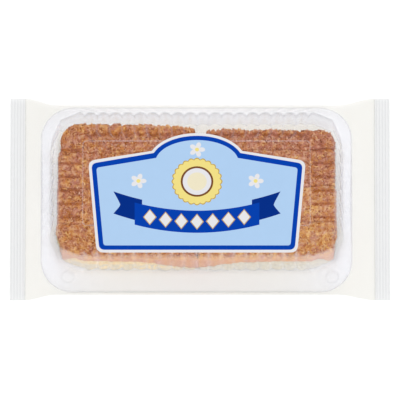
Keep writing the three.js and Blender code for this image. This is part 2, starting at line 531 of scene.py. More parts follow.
def from_edge(x, y, plan):
    """How far each grid point lies inside the block's edge, up to twice the crust's roll: the distance
    to the nearest of every second edge point."""
    apart = np.hypot(x[..., None] - plan[::2, 0], y[..., None] - plan[::2, 1])
    return np.minimum(apart.min(-1), 2 * CRUST_ROLL)


def flute_across(phase):
    """How far a phase lies across its flute: -1 and 1 in the grooves, 0 on the ridge."""
    return 2 * (phase - np.floor(phase)) - 1


def lid_shade(x, y):
    """How much the lid dims the crust, from 0 to 1: along the back in a crescent at the inner end of
    each flute and a line under each groove, and along the short sides in a band under each groove,
    darkest at its inner end."""
    out = np.abs(x - LID_PLACE[0])
    across = flute_across(out / LONG_PITCH)
    crescent = hill(y, CRESCENT_LINE + CRESCENT_BOW * across**2, SHADE_FADE) * (1 - 0.4 * across**2)
    line = 0.5 * np.abs(across) ** 8 * unit((y - CRESCENT_LINE) / SHADE_FADE)
    step = (y - SHORT_GROOVE_Y) / SHORT_PITCH
    band = hill((step - np.round(step)) * SHORT_PITCH, 0, SHORT_BAND) * (np.abs(step - 0.5) < 3)
    inner_end = hill(out, GROOVE_SHADE_START + SHADE_FADE, SHADE_FADE)
    along_band = unit((out - GROOVE_SHADE_START) / SHADE_FADE) * (0.85 + 0.3 * inner_end)
    return unit((crescent + line) * (out < LONG_FLUTES * LONG_PITCH) + band * along_band)


def under_lid(tone, shade, front):
    """A tone dimmed by the lid's painted shade and then paled along the front edge with painted light."""
    dimmed = tone * (1 - LID_SHADE * shade)
    return between(dimmed, FRONT_LIT_TONE, FRONT_PAINTED_LIGHT * front)


def crust_form(block):
    """The crust's top: a level with slow waves, lumps of coconut in two sizes, a cleft at each cut, and
    an edge rolled down on a quarter circle. Its tone carries painted shade in hollows, clefts and under the
    lid's grooves and painted light along the front, and its warmth changes by slice and in patches."""
    x, y = block_plan(block)
    seed = block["seed"]
    z = CAKE_TOP + waves(x, y, TOP_WAVES, seed)
    tone = np.full(x.shape, HOLLOW_SHADE_TONE)
    # The tone grows with each lump's height, so the hollows get painted shade.
    for size, height, weight, least, own_seed in LUMP_LAYERS:
        lump, lump_tone = lumps(x, y, size, seed + own_seed)
        z = z + height * (lump - LUMP_LEVEL)
        tone = tone + weight * lump * (least + lump_tone)
    wander = waves(x, 0, CUT_WAVES, seed)
    number = np.zeros(x.shape, int)
    cleft = np.zeros(x.shape)
    for cut in CUTS:
        apart = y - cut - block["cut_shift"] - wander
        cleft = np.maximum(cleft, hill(apart, 0, CUT_WIDTH))
        number = number + (apart < 0)
    inside = unit(from_edge(x, y, outline_of(x, y)) / CRUST_ROLL)
    z = z - CUT_DEPTH * cleft - CRUST_ROLL * (1 - np.sqrt(1 - (1 - inside) ** 2))
    bake = np.take(block["bake"], number)
    shade = lid_shade(x, y)
    front = unit((y[0] + FRONT_BAND - y) / FRONT_FADE)
    # Painted shade in the clefts and under the lid's grooves, and painted light along the front.
    tone = under_lid((tone - bake) * (1 - CLEFT_SHADE * cleft), shade, front)
    toasted = TOAST * unit((y - CRESCENT_LINE) / TOAST_FADE)
    warmth = np.take(block["warmth"], number) + waves(x, y, WARM_PATCHES, seed) + toasted
    return {
        "x": x, "y": y, "z": z, "tone": unit(tone), "warmth": unit(warmth),
        "bake": bake, "shade": shade, "front": front,
    }


def fluted(phase):
    """1 on the sides, which have flutes, and 0 round the plain corners."""
    return np.where((phase > LONG_FLUTES) & (phase < PLAIN_END), 0.0, 1.0)


def groove_at(phase, roundness):
    """0 on a ridge and 1 in a groove. The section is an arc of an ellipse, at roundness 1 half of it. At a
    plain corner the last groove runs out over a quarter of a flute."""
    bottom = 1 - math.sqrt(1 - roundness)
    arc = (1 - np.sqrt(1 - roundness * flute_across(phase) ** 2)) / bottom
    past = np.minimum(phase - LONG_FLUTES, PLAIN_END - phase)
    return np.where(fluted(phase) > 0, arc, unit(1 - 4 * past) ** 2)


def foot_flare(plan, height):
    """How far the cake's front spreads out near its foot, where it fills the lid's flutes. It grows with the
    sixth power of how near the foot a point is."""
    near = unit(1 - (height - CAKE_FOOT) / (CAKE_TOP - CAKE_FOOT))
    phase = np.minimum(np.abs(plan[:, 0] - LID_PLACE[0]) / LONG_PITCH, LONG_FLUTES + 1)
    in_flute = FLUTE_REACH - GROOVE_AT_FOOT * groove_at(phase, LID_ROUNDNESS)
    reach = np.where(phase < LONG_FLUTES, in_flute, CORNER_REACH)
    return reach * near**6 * unit(-outward_of(plan)[:, 1])


def crust_skirt_foot(plan):
    """How far down the crust's side reaches: a little all round, and further by the middle of the front and
    its two ends."""
    x, y = plan.T
    middle = hill(x, *DIP_MIDDLE) * (y < 0)
    ends = unit((np.abs(x - LID_PLACE[0]) - DIP_ENDS[0]) / DIP_ENDS[1]) * (y < DIP_ENDS_Y)
    foot = SKIRT_FOOT - DIP_DEPTH * np.maximum(middle, ends) + waves(x, y, SKIRT_WAVES, 0)
    return np.maximum(foot, SKIRT_LOWEST)


def crust_piece(block, form):
    """The top grid, a skirt that goes down from its edge to a ragged foot, and a fan below."""
    top = as_points(form["x"], form["y"], form["z"])
    loop = edge_loop(CAKE_ROWS, CAKE_COLUMNS)
    count = len(loop)
    plan, rim = top[loop, :2], top[loop, 2]
    foot = np.minimum(crust_skirt_foot(plan), rim - SKIRT_LEAST)
    shares = np.linspace(0.2, 1, SKIRT_ROWS)[:, None]
    height = between(rim, foot, shares)
    bulge = SKIRT_BULGE * np.sin(np.pi * shares) + foot_flare(plan, height)
    skirt = as_points(*rings_round(plan, bulge), height)
    middle = np.append(plan.mean(0), foot.min() - SKIRT_SINK)
    points = np.concatenate([top, skirt, [middle]])
    numbers = np.concatenate([loop, len(top) + np.arange(len(skirt))])
    faces = [*grid_faces(CAKE_ROWS, CAKE_COLUMNS, False)]
    faces += [*numbers[grid_faces(SKIRT_ROWS + 1, count, True)][:, ::-1]]
    faces += [*fan_faces(numbers[-count:], len(points) - 1, False)]
    side_tone = between(*SKIRT_TONES, np.random.default_rng(block["seed"]).random(len(skirt)))
    tones = np.concatenate([form["tone"].ravel(), side_tone, [SKIRT_TONES[0]]])
    side_warmth = unit(SKIRT_WARMTH + waves(*plan.T, SKIRT_PATCHES, block["seed"]))
    warm = np.concatenate([form["warmth"].ravel(), np.tile(side_warmth, SKIRT_ROWS), [0]])
    return points, faces, tones, warm


def object_noise(tree, scale):
    """A fine noise in Object coordinates."""
    place = add_node(tree, "TexCoord")
    noise = add_node(tree, "TexNoise", Scale=scale, Detail=3.0)
    tree.links.new(place.outputs["Object"], noise.inputs["Vector"])
    return noise.outputs["Fac"]


def ramped(tree, factor, stops):
    """A colour that follows a factor through these places and colours."""
    ramp = add_node(tree, "ValToRGB")
    while len(ramp.color_ramp.elements) < len(stops):
        ramp.color_ramp.elements.new(0.5)
    for element, (position, colour) in zip(ramp.color_ramp.elements, stops):
        element.position = position
        element.color = (*colour, 1)
    tree.links.new(factor, ramp.inputs["Fac"])
    return ramp.outputs["Color"]


def opaque(tree, surface, colour, roughness, specular, grain=None):
    """A rough opaque surface of a colour, with a bump of 0.4 mm where a grain is given."""
    body = add_node(tree, "BsdfPrincipled", Roughness=roughness, Specular_IOR_Level=specular)
    tree.links.new(colour, body.inputs["Base Color"])
    tree.links.new(body.outputs[0], surface)
    if grain:
        bump = add_node(tree, "Bump", Strength=0.4, Distance=0.4 * MM)
        tree.links.new(grain, bump.inputs["Height"])
        tree.links.new(bump.outputs["Normal"], body.inputs["Normal"])


def baked_crust():
    """Browned coconut: two ramps from dark, for the painted shade in hollows, to pale shreds by the tone
    attribute, mixed by the warmth attribute, with a fine mottle and a grainy bump."""
    material, tree, surface = material_tree("baked_crust")
    grain = object_noise(tree, CRUST_GRAIN)
    mottle = math_node(tree, "MULTIPLY_ADD", grain, CRUST_MOTTLE, -CRUST_MOTTLE / 2)
    tone = math_node(tree, "ADD", attribute_of(tree, "tone"), mottle)
    blend = add_node(tree, "Mix")
    blend.data_type = "RGBA"
    tree.links.new(attribute_of(tree, "warmth"), blend.inputs["Factor"])
    for socket, stops in ((6, ROSY_BROWNS), (7, WARM_BROWNS)):
        tree.links.new(ramped(tree, tone, stops), blend.inputs[socket])
    opaque(tree, surface, blend.outputs[2], roughness=0.72, specular=0.25, grain=grain)
    return material


crust_finish = baked_crust()
crust_forms = [crust_form(block) for block in BLOCKS]
for block, form in zip(BLOCKS, crust_forms):
    points, faces, tones, warm = crust_piece(block, form)
    crust = shown("crust_" + block["name"], crust_finish, points, faces, tone=tones, warmth=warm)
    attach(crust, "root")
    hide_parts("film_pack")

# Sponge: the yellow crumb under each crust. Its foot, which spreads into the lid's flutes at the front, is
# made paler with painted light. Its cut sides are full of small open pores.
SPONGE_ROWS = 40
SPONGE_INSET = 0.4
SPONGE_TOP = 16.5
SPONGE_EVENING = 4
SPONGE_UNEVEN = 0.2
SPONGE_WAVES = ((1.0, 6, 12, 1),)
SPONGE_SEED = 20
PORE_SIZE = 1.9
PORE_DEPTH = 0.7
PORE_CHANCE = 0.62
PORE_LEAST = 0.3
SIDE_PALENESS = 0.62
FOOT_PAINTED_LIGHT = 0.45
FOOT_SHARE = 0.35
SPONGE_YELLOWS = (
    (0.0, (0.52, 0.34, 0.14)),
    (0.6, (0.81, 0.62, 0.315)),
    (0.8, (0.625, 0.548, 0.40)),
    (1.0, (0.60, 0.575, 0.50)),
)
SPONGE_GRAIN = 1400.0


def sponge_piece(form, seed, paleness):
    """Rings of the block's outline, evened over a few millimetres, from the base sheet to just inside
    the crust. Each point is moved along the outline's normal by the flare of the foot, a slow
    unevenness and pores, which are lumps turned inwards. The paleness given is that of the front."""
    plan = outline_of(form["x"], form["y"])
    plan = np.mean([np.roll(plan, step, 0) for step in range(-SPONGE_EVENING, SPONGE_EVENING + 1)], 0)
    share = np.linspace(0, 1, SPONGE_ROWS)[:, None]
    along = np.cumsum(np.linalg.norm(np.roll(plan, -1, 0) - plan, axis=1))[None, :]
    along, height = np.broadcast_arrays(along, between(CAKE_FOOT, SPONGE_TOP, share))
    pores, pore_tone = lumps(along, height, PORE_SIZE, seed)
    holes = np.where(pore_tone > PORE_CHANCE, pores, 0) * (pore_tone - PORE_LEAST)
    moved = foot_flare(plan, height) - SPONGE_INSET - PORE_DEPTH * holes
    moved = moved - SPONGE_UNEVEN * (1 + np.tanh(waves(along, height, SPONGE_WAVES, seed)))
    middle = plan.mean(0)
    poles = [(*middle, CAKE_FOOT), (*middle, SPONGE_TOP)]
    pale = between(SIDE_PALENESS, paleness, unit(-1.4 * outward_of(plan)[:, 1]))
    # Painted light: paler towards the foot.
    pale = between(pale, 1, np.clip(1.2 - share / FOOT_SHARE, 0, FOOT_PAINTED_LIGHT))
    # The pores are darkened: painted shade.
    tones = np.append(unit(pale - holes * (1.15 - pale)), np.full(len(poles), SIDE_PALENESS))
    return *ringed(*rings_round(plan, moved), height, poles), tones


def sponge_crumb():
    """Pale yellow crumb: darker in the pores by the tone attribute, which is painted shade, with a fine bump.
    """
    material, tree, surface = material_tree("sponge_crumb")
    colour = ramped(tree, attribute_of(tree, "tone"), SPONGE_YELLOWS)
    opaque(tree, surface, colour, roughness=0.85, specular=0.2, grain=object_noise(tree, SPONGE_GRAIN))
    return material


sponge_finish = sponge_crumb()
for block, form in zip(BLOCKS, crust_forms):
    points, faces, tones = sponge_piece(form, block["seed"] + SPONGE_SEED, block["paleness"])
    sponge = shown("sponge_" + block["name"], sponge_finish, points, faces, tone=tones)
    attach(sponge, "root")
    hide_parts("film_pack")

# Coconut shreds: thin dried slivers that lie on the crust and were toasted with it, from pale tan to
# brown. They point every way and lie nearly flat.
SHREDS_PER_BLOCK = 6000
SHRED_SEED = 70
SHRED_LENGTH = (1.2, 3.8)
SHRED_WIDTH = (0.5, 1.2)
SHRED_THICKNESS = 0.5
SHRED_BOW = (-0.2, 0.5)
SHRED_TILT = 0.2
SHRED_LIFT = 0.05
SHRED_POINTS = 8
SHRED_TONE = 0.4
SHRED_SPREAD = 0.2
PALE_SHRED = 0.5
PALE_CHANCE = 0.9
BACK_EDGE_PALING = 0.3
BACK_EDGE_ROWS = 6
DARKEST_SHRED = 0.02
SHRED_WARMTH_SPREAD = 0.3


def shred_forms(draw, count):
    """Slivers with two three-sided sections between pointed ends, bowed upwards or down at the middle."""
    length = draw.uniform(*SHRED_LENGTH, (count, 1))
    broad = draw.uniform(*SHRED_WIDTH, (count, 1))
    bow = draw.uniform(*SHRED_BOW, (count, 1))
    along = np.array([-0.5, -0.2, -0.2, -0.2, 0.22, 0.22, 0.22, 0.5])
    across = np.array([0, -0.5, 0.5, 0, -0.45, 0.45, 0, 0])
    up = np.array([0, 0.35, 0.35, -0.65, 0.35, 0.35, -0.65, 0])
    return np.stack([length * along, broad * across, SHRED_THICKNESS * up + bow * (1 - 4 * along**2)], -1)


def turned(forms, yaw, tilt):
    """Each form tipped about its own Y axis and then turned about Z."""
    x, y, z = np.moveaxis(forms, -1, 0)
    cos_yaw, sin_yaw = np.cos(yaw)[:, None], np.sin(yaw)[:, None]
    cos_tilt, sin_tilt = np.cos(tilt)[:, None], np.sin(tilt)[:, None]
    x, z = x * cos_tilt + z * sin_tilt, z * cos_tilt - x * sin_tilt
    return np.stack([x * cos_yaw - y * sin_yaw, x * sin_yaw + y * cos_yaw, z], -1)


def shred_points(block, form):
    """Shreds at random places of the crust's top, half sunk into it. Most are as brown as the crust, some
    are dark and some pale, and those along the back edge are the palest."""
    count = SHREDS_PER_BLOCK
    draw = np.random.default_rng(block["seed"] + SHRED_SEED)
    row = draw.integers(1, CAKE_ROWS - 1, count)
    column = draw.integers(1, CAKE_COLUMNS - 1, count)
    at = {name: grid[row, column] for name, grid in form.items()}
    shapes = shred_forms(draw, count)
    shapes = turned(shapes, draw.uniform(0, np.pi, count), draw.normal(0, SHRED_TILT, count))
    spot = as_points(at["x"], at["y"], at["z"] + SHRED_LIFT)
    points = (shapes + spot[:, None, :]).reshape(-1, 3)
    tone = SHRED_TONE + SHRED_SPREAD * draw.standard_normal(count)
    tone = tone + PALE_SHRED * (draw.random(count) > PALE_CHANCE)
    tone = tone - at["bake"] + BACK_EDGE_PALING * (row > CAKE_ROWS - BACK_EDGE_ROWS)
    # Painted shade under the lid's grooves and painted light along the front, as on the crust.
    tone = np.clip(under_lid(tone, at["shade"], at["front"]), DARKEST_SHRED, 1)
    warm = unit(at["warmth"] + SHRED_WARMTH_SPREAD * draw.standard_normal(count))
    return points, np.repeat(tone, SHRED_POINTS), np.repeat(warm, SHRED_POINTS)


def shred_faces(count):
    """Three sides at each pointed end and six triangles between the two sections."""
    sides = [(0, 2, 1), (0, 3, 2), (0, 1, 3), (7, 4, 5), (7, 5, 6), (7, 6, 4)]
    for low, high in ((1, 2), (2, 3), (3, 1)):
        sides += [(low, high, high + 3), (low, high + 3, low + 3)]
    return (np.array(sides)[None] + SHRED_POINTS * np.arange(count)[:, None, None]).reshape(-1, 3)


shred_sets = [shred_points(block, form) for block, form in zip(BLOCKS, crust_forms)]
points, tones, warm = (np.concatenate(parts) for parts in zip(*shred_sets))
faces = shred_faces(len(points) // SHRED_POINTS)
shreds = shown("coconut_shreds", crust_finish, points, faces, smooth=False, tone=tones, warmth=warm)
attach(shreds, "root")
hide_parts("film_pack")

# Lid: a clear sheet formed into a dome over the cake. A flat panel, shoulder and walls with rounded
# flutes, and a flat flange with a turned-down lip and two small locking bosses at its front corners.
film_low, film_high = (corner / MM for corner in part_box("film_pack"))
STEPS_PER_FLUTE = 12
ROOF_LEVEL = film_high.z - 0.4
ROOF_FILLET = 2.2
RIDGE_HEIGHT = 1.6
RIDGE_START = 17.0
RIDGE_END = 19.2
RIDGE_ROUND = 3.6
SHOULDER_INSETS = np.concatenate([
    np.linspace(RIDGE_END + RIDGE_ROUND + 0.3, RIDGE_START, 12),
    np.linspace(RIDGE_START - 1.5, ROOF_FILLET, 8),
])[:, None]
PANEL_INSET = 24.7
PANEL_HALF = (ROOF_HALF[0] - PANEL_INSET, ROOF_HALF[1] - PANEL_INSET)
PANEL_CORNER = 3.0
PANEL_BEAD = 0.1
PANEL_BAND = 1.0
PANEL_REACH = 30
PANEL_GROWN = np.array([-25, -15, -5, -1.0, -0.6, -0.3, 0.15, 0.45])[:, None]
PANEL_RISE = np.array([0, 0, 0, 0, 0, 1, 1, 0])[:, None]
EDGE_TURNS = np.linspace(0.15, 1, 7)[:, None] * np.pi / 2
WALL_SHARES = np.linspace(0.12, 1, 8)[:, None]
FOOT_HALF = (118.0, 63.4)
FOOT_CORNER = 25.0
FOOT_RISE = 0.8
GROOVE_AT_ROOF = 3.2
SHORT_DEPTH = 0.55
FLANGE_LEVEL = 1.35
FLANGE_SHARES = np.concatenate([
    [0.03, 0.09], np.linspace(0.16, 0.8, 14), [0.85, 0.88, 0.91, 0.94, 0.965, 0.985, 1, 1]])[:, None]
FLANGE_RISE = np.concatenate([[0.15], np.zeros(16), [0.3, 0.42, 0.3, 0.1, 0, -0.1, -0.55]])[:, None]
FLANGE_BEAD = 0.2
EVENED_SHARE = 0.3
BOSS_PLACES = ((-106.3, -67.0), (106.0, -67.0))
BOSS_RADIUS = 5.6
BOSS_HEIGHT = 0.9
BOSS_SLOPE = 0.35
# Milk and grey: shares of white and of dark on the sheet. The white is partly the drawn sheet's haze and
# partly painted reflection and highlight, and the dark is painted shade along bends, grooves and rims.
BEAD_SHEEN = 0.09
LONG_BEAD_SHEEN = 0.14
CUSP_MARK = 0.06
RIDGE_END_GREY = 0.05
SIDE_SHEEN = 0.24
SIDE_SHEEN_BAND = (2.6, 2.2)
EDGE_GREY = 0.14
WALL_MILK_AND_SHEEN = 0.09
WALL_FOOT_MILK_AND_SHEEN = 0.1
LONG_LINES, SHORT_LINES = 0.1, 0.02
FLANGE_MILK_AND_SHEEN = 0.235
FLANGE_BEAD_SHEEN = 0.01
RIM_LINE = (0.14, 0.0, 0.8)
LIP_LINE = (0.08, 1.5, 0.4)
BOSS_RING = (0.05, 0.88, 0.12)
BACK_SHEEN_STRIPE = (0.08, 0.0, 0.3)
BACK_FOOT_MILK_AND_SHEEN = 0.03
BACK_GREY = 0.014
BEND_MILK_AND_SHEEN = ((0.905, 0.915, 0.998, 1), "milk")
PAINTED_BEND_SHADE = ((0.16, 0.15, 0.14, 1), "grey")
LID_GLOSS = 0.1
# The wall's milk, partly haze and partly painted reflection, is multiplied by one number on all sides, with
# more on the short ones and less at the front, or by a number of its own at the plain front corners and at
# the back.
WALL_SHEEN_SCALE, SIDE_SHEEN_SCALE, FRONT_SHEEN_SCALE, CORNER_SHEEN_SCALE, BACK_SHEEN_SCALE = 1.8, 0.8, -1.2, 1.3, 0.3
FLANGE_FRONT_SHEEN_SCALE = -0.9
# Painted shade is multiplied by the sum of the first three at the back and on the flange, and by the last
# elsewhere.
BENT_GREY, FLUTED_GREY, BEHIND_GREY, CLEAR_GREY = 0.6, 0.25, 0.5, 0.2
CUSP_START = 0.72


def faceted_rectangle(station, half_x, half_y, corner, inset):
    """A rounded rectangle drawn in by an inset, whose corner arc is replaced by two flat facets: the radius
    is that of the facet's chord."""
    lean = unit(station - 1) * np.pi / 2 % CORNER_FACET - CORNER_FACET / 2
    reach = corner * math.cos(CORNER_FACET / 2) / np.cos(lean) - inset
    return rounded_rectangle(station, half_x, half_y, corner, reach)


def line_at(value, line):
    """A soft line: a hill of a strength, a middle and a width."""
    strength, middle, width = line
    return strength * hill(value, middle, width)


def lid_groove(phase):
    """The share of its depth that a groove has: the short sides' flutes are the shallower ones."""
    on_short = phase > LONG_FLUTES + PLAIN_FLUTES / 2
    return groove_at(phase, LID_ROUNDNESS) * np.where(on_short, SHORT_DEPTH, 1)


def cusp_at(phase):
    """The narrow bottom of a groove: 0 on most of the flute, rising to 1 on a power of 1.5."""
    return fluted(phase) * unit((np.abs(flute_across(phase)) - CUSP_START) / (1 - CUSP_START)) ** 1.5


def side_milk(phase, inset):
    """Painted reflection over the ends of the cake: a milky band just inside the short sides' edge, which
    fades out round the corners."""
    return SIDE_SHEEN * hill(inset, *SIDE_SHEEN_BAND) * unit((phase - LONG_FLUTES) / PLAIN_FLUTES * 2 - 1)


def lid_panel_rows(phase):
    """The flat panel out to the thin bead round it."""
    share = unit(1 + (PANEL_GROWN + PANEL_BAND) / PANEL_REACH)
    near = np.maximum(PANEL_GROWN, -PANEL_BAND)
    x, y = rounded_rectangle(station_at(phase), *PANEL_HALF, PANEL_CORNER)
    x, y = x * share * (1 + near / PANEL_HALF[0]), y * share * (1 + near / PANEL_HALF[1])
    z = ROOF_LEVEL - RIDGE_HEIGHT + PANEL_BEAD * PANEL_RISE + 0 * x
    # Painted highlight along the bead.
    milk = np.where(phase < LONG_FLUTES, LONG_BEAD_SHEEN, BEAD_SHEEN) * PANEL_RISE
    return x, y, z, milk, 0 * x


def lid_ridge_rows(phase):
    """The ridges' round inner ends and the shoulder. Near the panel the outline is a blend of its and the
    roof's own, and the ridges' heights follow a round section across and a round end in plan."""
    inset = SHOULDER_INSETS
    station = station_at(phase)
    near = unit((inset - RIDGE_START) / (PANEL_INSET - RIDGE_START))
    out_x, out_y = faceted_rectangle(station, *ROOF_HALF, ROOF_CORNER, np.minimum(inset, RIDGE_START))
    in_x, in_y = rounded_rectangle(station, *PANEL_HALF, PANEL_CORNER)
    section = flute_across(phase) ** 2 * fluted(phase)
    past = np.maximum((inset - RIDGE_END) / RIDGE_ROUND, 0)
    z = ROOF_LEVEL - RIDGE_HEIGHT + RIDGE_HEIGHT * unit(1 - section - past**2)
    end = hill(np.sqrt(section + past**2), 0.95, 0.2) * (past > 0.1)
    # The grooves' bottoms get a painted highlight on the long sides and painted shade on the short ones, and
    # the ridges' ends painted shade.
    cusp = CUSP_MARK * cusp_at(phase) * unit(1.2 - past)
    milk = cusp * (phase < LONG_FLUTES) + side_milk(phase, inset)
    grey = cusp * (phase > PLAIN_END) + RIDGE_END_GREY * end * (phase < LONG_FLUTES)
    return between(out_x, in_x, near), between(out_y, in_y, near), z, milk, grey


def lid_edge_rows(phase):
    """The fillet from the shoulder over to the wall, where the flutes begin to cut in from the side."""
    turn = EDGE_TURNS
    inset = ROOF_FILLET * (1 - np.sin(turn))
    cut = GROOVE_AT_ROOF * lid_groove(phase) * np.sin(turn)
    x, y = faceted_rectangle(station_at(phase), *ROOF_HALF, ROOF_CORNER, inset + cut)
    ridge = RIDGE_HEIGHT * flute_across(phase) ** 2 * fluted(phase) * np.cos(turn)
    z = ROOF_LEVEL - ridge - ROOF_FILLET * (1 - np.cos(turn))
    # A painted highlight in the grooves' bottoms and painted shade along the bend.
    milk = CUSP_MARK * cusp_at(phase) + side_milk(phase, inset)
    return x, y, z, milk, EDGE_GREY * np.sin(turn) ** 2 + 0 * x


def lid_wall_rows(phase, top_z):
    """Down the wall: the roof's outline grows into the foot's, the flutes grow shallower, and the white
    share, partly haze and partly painted reflection, grows with the square of the way down."""
    share = WALL_SHARES
    cut = between(GROOVE_AT_ROOF, GROOVE_AT_FOOT, share) * lid_groove(phase)
    half_x = between(ROOF_HALF[0], FOOT_HALF[0], share)
    half_y = between(ROOF_HALF[1], FOOT_HALF[1], share)
    corner = between(ROOF_CORNER, FOOT_CORNER, share)
    x, y = faceted_rectangle(station_at(phase), half_x, half_y, corner, cut)
    z = between(top_z, FLANGE_LEVEL + FOOT_RISE, share)
    # Painted highlight lines in the grooves and painted shade along the wall's top.
    lines = np.where(phase < LONG_FLUTES, LONG_LINES, SHORT_LINES) * fluted(phase)
    milk = WALL_MILK_AND_SHEEN + WALL_FOOT_MILK_AND_SHEEN * share**2 + lines * np.abs(flute_across(phase)) ** 3
    return x, y, z, milk, EDGE_GREY * hill(share, 0, 0.2) + 0 * x


def lid_flange_rows(phase):
    """From the wall's foot to the lip: the foot's outline loses its flutes and is drawn out to the flange's,
    with a fine bead near the edge and a lip that turns down round it."""
    station = station_at(phase)
    cut = GROOVE_AT_FOOT * lid_groove(phase)
    foot = faceted_rectangle(station, *FOOT_HALF, FOOT_CORNER, cut)
    even = rounded_rectangle(station, *FOOT_HALF, FOOT_CORNER)
    rim = rounded_rectangle(station, *FLANGE_HALF, FLANGE_CORNER)
    evened = unit(FLANGE_SHARES / EVENED_SHARE)
    x, y = (between(between(f, e, evened), r, FLANGE_SHARES) for f, e, r in zip(foot, even, rim))
    # The flange's white share is partly haze and partly painted light, with a painted highlight on its bead
    # and painted shade along the rim and lip.
    milk = FLANGE_MILK_AND_SHEEN + FLANGE_BEAD_SHEEN * (FLANGE_RISE > FLANGE_BEAD) + 0 * x
    from_rim = np.hypot(rim[0] - x, rim[1] - y)
    grey = line_at(from_rim, RIM_LINE) + line_at(from_rim, LIP_LINE) * (phase > LONG_FLUTES + 2)
    return x, y, FLANGE_LEVEL + FLANGE_RISE + 0 * x, milk, grey


def lid_marks(phase, side_y, z, milk, grey, on_wall, on_flange):
    """The white and dark shares as they differ round the pack: the front is the clearest, the wall is
    milkiest on the short sides, and the back has the most painted shade, with a painted highlight down each
    flute and a milkier foot."""
    station = station_at(phase)
    at_front = (side_y < 0) * unit(1.7 - station)
    behind = (side_y > 0) * unit(1.7 - station)
    at_back = (side_y > 0) & (station < 1.5)
    on_side = fluted(phase) * (station > 2)
    # Scales for the white share, partly haze and partly painted reflection, and for the painted shade, round
    # the pack.
    drawn = WALL_SHEEN_SCALE + SIDE_SHEEN_SCALE * on_side + FRONT_SHEEN_SCALE * at_front
    drawn = np.where(fluted(phase) + (side_y > 0) > 0, drawn, CORNER_SHEEN_SCALE)
    milk = milk * np.where(on_wall, np.where(at_back, BACK_SHEEN_SCALE, drawn), 1)
    milk = milk * np.where(on_flange, 1 + FLANGE_FRONT_SHEEN_SCALE * at_front, 1)
    bent = BENT_GREY + FLUTED_GREY * fluted(phase) + BEHIND_GREY * behind * on_flange
    grey = grey * np.where(at_back | on_flange, bent, CLEAR_GREY)
    deep = unit((ROOF_LEVEL - z) / (ROOF_LEVEL - FLANGE_LEVEL))
    stripe = line_at(flute_across(phase), BACK_SHEEN_STRIPE) * fluted(phase)
    milk = milk + (stripe + BACK_FOOT_MILK_AND_SHEEN * deep**2) * (on_wall & at_back)
    return milk, grey + BACK_GREY * (on_wall & at_back)


def lid_piece():
    """All rings from the panel's middle to the lip, mirrored into four quarters, with the bosses raised on
    the flange, which is cut with its middle off the dome's. Two attributes say how much white the sheet
    shows, partly haze and partly painted reflection, and how much painted shade, at each point."""
    phase, side_x, side_y = all_round(STEPS_PER_FLUTE)
    edge = lid_edge_rows(phase)
    parts = (
        lid_panel_rows(phase), lid_ridge_rows(phase), edge,
        lid_wall_rows(phase, edge[2][-1]), lid_flange_rows(phase),
    )
    part_of_row = np.repeat(np.arange(len(parts)), [len(part[0]) for part in parts])[:, None]
    on_wall, on_flange = part_of_row == 3, part_of_row == 4
    x, y, z, milk, grey = (np.concatenate(rows) for rows in zip(*parts))
    milk, grey = lid_marks(phase, side_y, z, milk, grey, on_wall, on_flange)
    slide = np.zeros(x.shape)
    slide[-len(FLANGE_SHARES):] = FLANGE_SHARES
    x = x * side_x + LID_PLACE[0]
    y = y * side_y + between(LID_PLACE[1], FLANGE_PLACE[1], slide)
    for boss_x, boss_y in BOSS_PLACES:
        reach = np.hypot(x - boss_x, y - boss_y) / BOSS_RADIUS
        # Painted shade in a ring round each boss.
        grey = grey + on_flange * line_at(reach, BOSS_RING)
        rise = unit((1 - reach) / BOSS_SLOPE)
        z = z + on_flange * BOSS_HEIGHT * rise * rise * (3 - 2 * rise)
    points, faces = ringed(x, y, z, [(*LID_PLACE, ROOF_LEVEL - RIDGE_HEIGHT)])
    return points, faces, np.append(milk, 0), np.append(grey, 0)


points, faces, milk, grey = lid_piece()
lid_plastic = plastic("lid_plastic", TRAY_TINT, LID_GLOSS, TRAY_MIRROR, BEND_MILK_AND_SHEEN, PAINTED_BEND_SHADE)
lid = shown("lid", lid_plastic, points, faces, milk=milk, grey=grey)
lid.visible_shadow = False
thicken(lid, SHEET_THICKNESS)
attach(lid, "root")
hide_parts("film_pack")

# Film bag: thin clear film drawn tight over the lid's roof and down to the flange, spreading at each end
# into the flat seals. It is one closed skin, and it has the form of the solid that it stands for.
FILM_STEPS_PER_FLUTE = 8
SEAL_LENGTH = 12.0
SEAL_X = film_high.x - SEAL_LENGTH
SEAL_HALF = film_high.y - 0.2
WAIST_HALF = 80.5
FLARE_START = 112.0
FLARE_FLUTES = 2
FRONT_SLACK = 1.1
HEM_HEIGHT = 1.6
FILM_ROOF_HALF = (116.4, 61.6)
FILM_SHOULDER = 20.0
FILM_EDGE = 2.2
FILM_GROOVE_IN = 1.2
FILM_GROOVE_DOWN = 0.6
FILM_ROUNDNESS = 0.9
CREASE_HEIGHT = 0.45
CREASE_PLACE = (11, 2.2)
FILM_TINT = (0.938, 0.936, 0.925, 1)
FILM_MIRROR = (0.004, 0.5)
FILM_GLOSS = 0.08
FILM_HAZE = ((0.93, 0.925, 0.89, 1), 0.004)


def film_hem(phase, side_y):
    """The film's outline on the table: along the flange, where the front lies a little slack, out with the
    flare to the seal's corner, and back along the seal to its middle."""
    flare_end = LONG_FLUTES + FLARE_FLUTES
    share = unit((phase - LONG_FLUTES) / FLARE_FLUTES)
    spread = share * share * (3 - 2 * share)
    x = FLARE_START * np.minimum(phase, LONG_FLUTES) / LONG_FLUTES + (SEAL_X - FLARE_START) * share
    y = between(WAIST_HALF, SEAL_HALF, spread) + FRONT_SLACK * (side_y < 0) * (1 - spread)
    home = unit((phase - flare_end) / (QUARTER_FLUTES - flare_end))
    return x, y * (1 - home)


